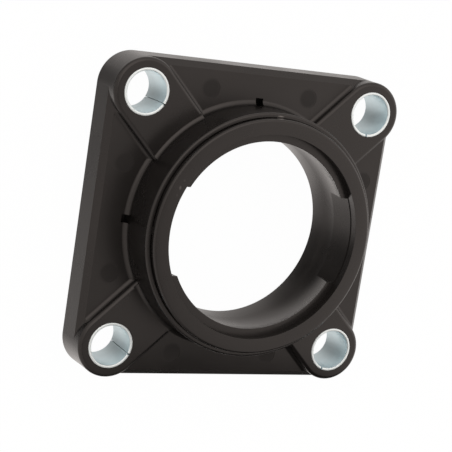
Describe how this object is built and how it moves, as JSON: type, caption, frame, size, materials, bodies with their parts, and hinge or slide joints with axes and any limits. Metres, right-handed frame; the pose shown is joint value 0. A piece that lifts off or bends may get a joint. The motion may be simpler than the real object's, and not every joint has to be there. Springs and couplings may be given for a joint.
{
  "type": "flanged bearing housing",
  "caption": "Square plastic flange housing for an insert bearing: a ball-shaped seat in a round collar, with a rolled steel sleeve in each corner bolt hole.",
  "frame": {"origin": "centre of the bore on the back face of the flange", "axes": "+Z along the bore to the front, +X and +Y along the sides of the square flange, with the two filling slots of the seat at +X and -X"},
  "size_m": [0.117, 0.117, 0.0334],
  "materials": {
    "plastic": "satin",
    "zinc": "satin"
  },
  "bodies": {
    "root": {"housing": "plastic", "sleeve_top_left": "zinc", "sleeve_top_right": "zinc", "sleeve_bottom_left": "zinc", "sleeve_bottom_right": "zinc"}
  },
  "joints": []
}
